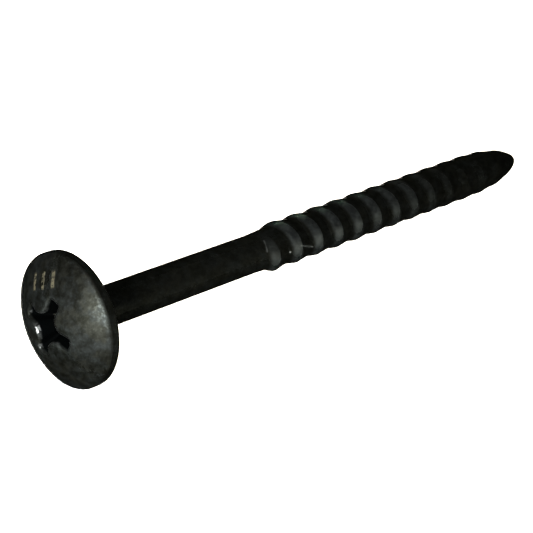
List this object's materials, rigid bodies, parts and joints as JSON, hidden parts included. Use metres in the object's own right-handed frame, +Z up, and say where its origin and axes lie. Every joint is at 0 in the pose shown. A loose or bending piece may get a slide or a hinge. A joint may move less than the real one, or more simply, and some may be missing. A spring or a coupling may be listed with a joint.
{
  "type": "wood screw",
  "caption": "Long black-coated wood screw with a wide low-domed washer head, a cross recess, a plain shank, a coarse rolled thread and a tapered point.",
  "frame": {"origin": "on the screw's axis, half-way between the top of the head and the end of the point", "axes": "+X along the screw from head to point; +Z up when the screw lies on a surface; +Y completes the right-handed set"},
  "size_m": [0.0869, 0.016, 0.016],
  "materials": {
    "coated_steel": "near-black matt protective coating over steel, slightly green-grey, with fine mottling"
  },
  "bodies": {
    "root": {"screw": "coated_steel"}
  },
  "joints": []
}
